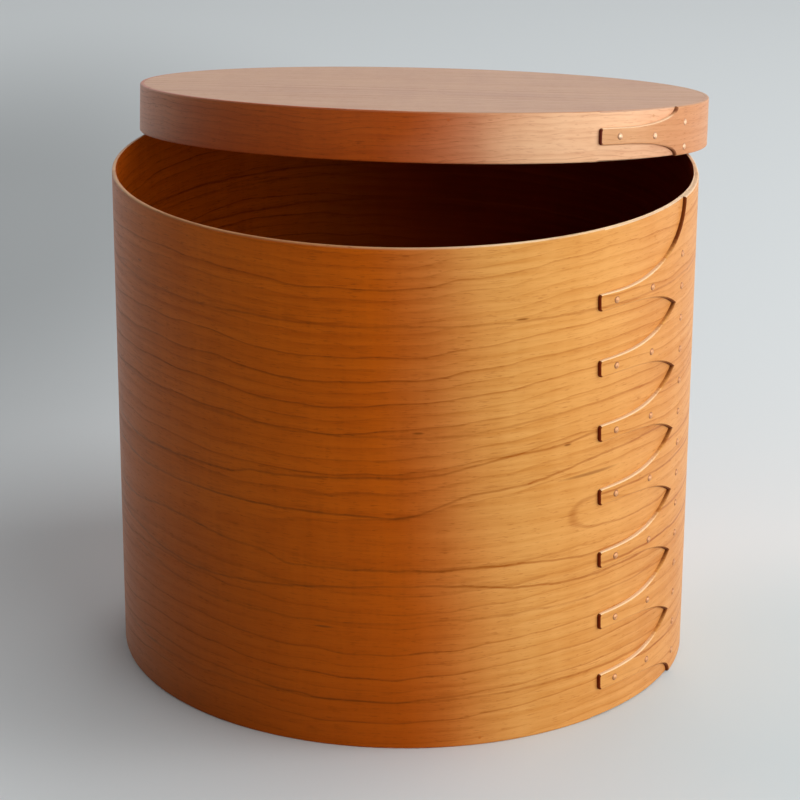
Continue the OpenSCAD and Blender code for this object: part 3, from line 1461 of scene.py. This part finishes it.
@dataclass
class BoxLid:
    """The lid, pushed back and lying askew on the rim."""

    box: PantryBox
    height: float = 25.4 * MM
    board: float = 7.5 * MM
    clear: float = 0.3 * MM
    rest_dir: float = math.radians(83.4)
    rest_line: float = 41.2 * MM
    rest_gap: float = 0.3 * MM
    tip_angle: float = math.radians(34.3)
    finger_length: float = 60 * MM
    neck: float = 17 * MM
    tip_tack: float = 12.6 * MM
    tack_drop: float = 0.9 * MM
    row_low: float = 4.4 * MM
    row_high: float = 17 * MM
    inner_ease: float = 0.12 * MM
    first_peg: float = math.radians(4)
    tack_seed: int = 29

    @property
    def bore(self) -> float:
        """Inner radius of the lid's strip."""
        return self.box.radius + 0.5 * self.box.thick + self.clear

    @property
    def place(self) -> Matrix:
        """Resting place of the lid, which lies on the rim at three points."""
        tilt = math.asin((self.height - self.board) / (self.box.radius - self.rest_line))
        reach = math.sqrt(self.bore ** 2 - self.box.radius ** 2 + self.rest_line ** 2)
        shift = self.rest_line + reach * math.cos(tilt)
        lift = self.box.height - reach * math.sin(tilt) + self.rest_gap
        cos_dir = math.cos(self.rest_dir)
        sin_dir = math.sin(self.rest_dir)
        spot = Matrix.Translation((shift * cos_dir, shift * sin_dir, lift))
        return spot @ Matrix.Rotation(tilt, 4, Vector((-sin_dir, cos_dir, 0.0)))

    def build(self, cherry: StripFinish, top: Material, copper: Material) -> None:
        """Builds and dresses every piece of the lid.

        Args:
            cherry: finishes of the strip.
            top: finish of the lid board.
            copper: finish of the tacks.
        """
        place = self.place
        middle = 0.5 * self.height
        length = self.finger_length
        lap = Lap(self.tip_angle, self.height, (middle,), length, length, length, self.neck)
        outer = self.bore + self.box.thick
        strip = BentStrip(
            "lid_strip", Body.LID, outer, self.height, self.box.thick, lap, place, inner_ease=self.inner_ease
        )
        strip.dress(strip.build(), cherry, "lid_band")
        board = Board("lid_disc", Body.LID, self.bore, self.height - self.board, self.board, place)
        board.dress(board.build(), top, "lid_board")
        peg_height = self.height - 0.5 * self.board
        pegs = PegRing("lid_peg_ends", Body.LID, outer, peg_height, self.first_peg, self.tip_angle, place)
        pegs.dress(pegs.build(), cherry.outside, "lid_pegs")
        root = (self.box.root_tack, middle - self.tack_drop, True)
        columns = {
            "lid_finger_tacks": [(self.tip_tack, middle, True), root],
            "lid_row_tacks": [(lap.row, self.row_low, True), (lap.row, self.row_high, False)],
        }
        Tack().place_all(strip, columns, copper, self.tack_seed)


# Studio

@dataclass
class Lamp:
    """A soft oblong light that faces the box, with its angles in degrees."""

    name: str
    azimuth: float
    elevation: float
    distance: float
    width: float
    tall: float
    power: float
    colour: Colour = (1.0, 1.0, 1.0)

    def build(self, aim: Vector) -> None:
        """Hangs the light.

        Args:
            aim: point that it faces.
        """
        data = bpy.data.lights.new(self.name, "AREA")
        data.shape = "RECTANGLE"
        data.size = self.width
        data.size_y = self.tall
        data.energy = self.power
        data.color = self.colour
        lamp = bpy.data.objects.new(self.name, data)
        bpy.context.scene.collection.objects.link(lamp)
        elevation = math.radians(self.elevation)
        away = round_place(math.radians(self.azimuth), math.cos(elevation), math.sin(elevation))
        lamp.location = aim + away * self.distance
        lamp.rotation_euler = away.to_track_quat("Z", "Y").to_euler()


LAMPS = (
    Lamp(
        "window", azimuth=60.0, elevation=14.0, distance=1.9, width=3.0, tall=1.3, power=49.0,
        colour=(1.0, 0.99, 0.97),
    ),
    Lamp("ceiling", azimuth=105.0, elevation=60.0, distance=2.4, width=1.3, tall=1.3, power=20.0),
    Lamp("back", azimuth=165.0, elevation=35.0, distance=2.5, width=1.2, tall=0.8, power=7.0),
)


@dataclass
class Studio:
    """Floor, soft lights and the camera at the photograph's angle."""

    middle: float
    focal_pixels: float = 2886.0
    image_pixels: float = 800.0
    sensor: float = 36.0
    far_clip: float = 50.0
    elevation: float = math.radians(19.99)
    distance: float = 1.5278
    yaw: float = math.radians(0.07)
    roll: float = math.radians(-0.31)
    floor: float = 12.0
    dim: Colour = (0.13, 0.13, 0.13)
    glow: Colour = (0.95, 0.97, 0.97)
    glow_from: tuple[float, float, float] = (-0.20, 0.98, 0.0)
    glow_edge: Point = (0.2, 0.95)

    def build(self, paper: Material) -> None:
        """Builds the whole studio.

        Args:
            paper: finish of the floor.
        """
        self.build_floor(paper)
        self.build_camera()
        for lamp in LAMPS:
            lamp.build(Vector((0.0, 0.0, self.middle)))
        self.build_room()
        bpy.context.scene.view_settings.view_transform = "Standard"

    def build_room(self) -> None:
        """Makes the dim room with its pale wall behind the box."""
        g = Graph.of_world("room")
        sockets = {0: g.node("ShaderNodeTexCoord", {}, {}, "Generated"), 1: self.glow_from}
        facing = g.node("ShaderNodeVectorMath", {"operation": "DOT_PRODUCT"}, sockets, "Value")
        wall = facing.rise(*self.glow_edge)
        bpy.context.scene.world = g.surface(Color=g.mix(self.dim, self.glow, wall))

    def build_floor(self, paper: Material) -> None:
        """Lays the paper floor.

        Args:
            paper: finish of the floor.
        """
        clear_selection()
        bpy.ops.mesh.primitive_plane_add(size=self.floor, location=(0.0, 0.0, 0.0))
        floor = named("paper_floor")
        floor.data.materials.append(paper)

    def build_camera(self) -> None:
        """Sets up the camera."""
        data = bpy.data.cameras.new("view")
        data.sensor_width = self.sensor
        data.lens = self.sensor * self.focal_pixels / self.image_pixels
        data.clip_end = self.far_clip
        camera = bpy.data.objects.new("view", data)
        bpy.context.scene.collection.objects.link(camera)
        back = Vector((0.0, -math.cos(self.elevation), math.sin(self.elevation)))
        ahead = -back
        right = Vector((1.0, 0.0, 0.0))
        up = right.cross(ahead)
        yaw = Matrix.Rotation(self.yaw, 3, up)
        ahead = yaw @ ahead
        right = yaw @ right
        roll = Matrix.Rotation(self.roll, 3, ahead)
        turned = Matrix((roll @ right, roll @ up, -ahead)).transposed()
        spot = Matrix.Translation(Vector((0.0, 0.0, self.middle)) + back * self.distance)
        camera.matrix_world = spot @ turned.to_4x4()
        bpy.context.scene.camera = camera


# The finishes of this box

# Outside, the second tone is a painted sheen on the front right and right, where the window light falls, and
# painted shade darkens the foot of the back and left.
BOX_OUTSIDE = CherryFinish(
    "oiled_cherry", foot_shade_share=0.55, second_tone_from=847 * MM, second_tone_ramp=74 * MM, border_lean=0.07,
    border_drift=25 * MM,
    flecks=(
        Fleck(857, 167, 4, 0.8),
        Fleck(935, 153, 3, 0.8),
        Fleck(689, 229, 3, 0.7),
        Fleck(810, 64, 7, 0.8),
        Fleck(908, 221, 5, 0.7),
        Fleck(950, 135, 24, 1.2, 0.65),
    ),
    lines=(
        GrainLine(
            135.5, 0.52, ((664, 758, 2), (758, 772, 3), (775, 850, 3.5), (850, 912, 8.5), (915, 965, 4))
        ),
        GrainLine(123, 0.50, ((700, 740, 1), (820, 840, -1), (845, 892, 12), (890, 972, 9.5))),
        GrainLine(99, 0.50, ((660, 715, 6), (720, 778, -5), (776, 792, -4.5), (900, 955, -3.5))),
        GrainLine(85.5, 0.54, ((660, 735, -5), (740, 855, 7), (858, 942, -7))),
        GrainLine(76, 0.30, ((664, 760, -9), (830, 880, 2))),
        GrainLine(166.5, 0.28, ((740, 800, -2), (860, 960, 7))),
        GrainLine(220, 0.35),
        GrainLine(25, 0.35, ((820, 960, 3),)),
    ),
    loops=(GrainLoop(988, 114.5, 50, 10),),
)
# Inside, the second tone is painted shade on the inner walls away from the light, and the paler base tone
# between them, on the back and left, is painted light where the light falls.
INSIDE = CherryFinish(
    "cherry_inside", pale=(0.54, 0.098, 0.003), deep=(0.43, 0.070, 0.002), painted_light_and_board_tone=(0.22, 0.024, 0.002),
    painted_light_and_board_deep=(0.17, 0.017, 0.001), line_deep=(0.15, 0.016, 0.002), gloss_level=0.1, second_tone_fades_from=320 * MM,
    second_tone_fades_to=460 * MM, second_tone_from=640 * MM, second_tone_ramp=400 * MM,
    lines=(GrainLine(219, 0.5), GrainLine(213.5, 0.3), GrainLine(198, 0.5)),
)
# Painted highlight on the box's upward-facing rim, brighter in the second tone zone.
BOX_RIM_HIGHLIGHT = CherryFinish(
    "cherry_rim_highlight", pale=(0.56, 0.25, 0.105), deep=(0.47, 0.19, 0.075), painted_light_and_board_tone=(0.82, 0.55, 0.35),
    painted_light_and_board_deep=(0.72, 0.45, 0.27), line_deep=CherryFinish.line,
)
# The lid's second tone is a painted sheen that fades slowly round the strip from its lap and comes back at
# the front; its lap gets a gold-toned painted sheen.
LID_OUTSIDE = CherryFinish(
    "oiled_cherry_lid", pale=(0.52, 0.088, 0.003), deep=(0.43, 0.062, 0.002), painted_light_and_board_tone=(0.68, 0.360, 0.210),
    painted_light_and_board_deep=(0.60, 0.280, 0.150), cut=(0.22, 0.055, 0.018), gloss=(1.0, 1.0, 0.60), gloss_level=0.8,
    heart=-90 * MM, swing=0.0, ring=2.6 * MM, line_share=0.32, fibre_share=0.5, lap_sheen_share=0.35,
    second_tone_fades_from=-500 * MM, second_tone_fades_to=900 * MM, second_tone_from=868 * MM, second_tone_ramp=80 * MM, seed=40.0,
)
LID_BOARD = CherryFinish(
    "cherry_lid_board", painted_light_and_board_tone=(0.53, 0.235, 0.090), painted_light_and_board_deep=(0.45, 0.175, 0.060), gloss=(1.0, 1.0, 0.9),
    gloss_level=0.45, heart=-20 * MM, ring=7 * MM, line_share=0.25, roughness=0.42, silk=0.0, seed=70.0,
)
BOX_BOARD = CherryFinish(
    "cherry_bottom_board", painted_light_and_board_tone=(0.50, 0.16, 0.035), painted_light_and_board_deep=(0.42, 0.115, 0.022), heart=30 * MM,
    ring=6 * MM, silk=0.0, seed=90.0,
)
BOX_COPPER = CopperFinish("dull_copper")
# The lid's tacks: a brighter copy of the copper, a painted highlight where they catch the window light.
LID_COPPER_HIGHLIGHT = CopperFinish(
    "copper_painted_highlight", rim=(0.30, 0.12, 0.05), bright=(0.82, 0.53, 0.34), dull=(0.66, 0.39, 0.23)
)


def main() -> None:
    """Builds the box, its lid and the studio in order."""
    logging.basicConfig(level=logging.INFO, format="%(message)s")
    low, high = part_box("box_band")
    radius = 0.5 * (high.x - low.x)
    bottom_low, bottom_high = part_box("box_bottom")
    bore = 0.5 * (bottom_high.x - bottom_low.x)

    inside = INSIDE.material()
    top = LID_BOARD.material()
    box_strip = StripFinish(BOX_OUTSIDE.material(), inside, BOX_RIM_HIGHLIGHT.material())
    lid_strip = StripFinish(LID_OUTSIDE.material(), inside, top)
    box = PantryBox(radius, high.z, radius - bore, bottom_high.z)
    box.build(box_strip, BOX_BOARD.material(), BOX_COPPER.material())
    BoxLid(box).build(lid_strip, top, LID_COPPER_HIGHLIGHT.material())
    Studio(0.5 * high.z).build(FloorFinish("studio_paper").material())


if __name__ == "__main__":
    main()
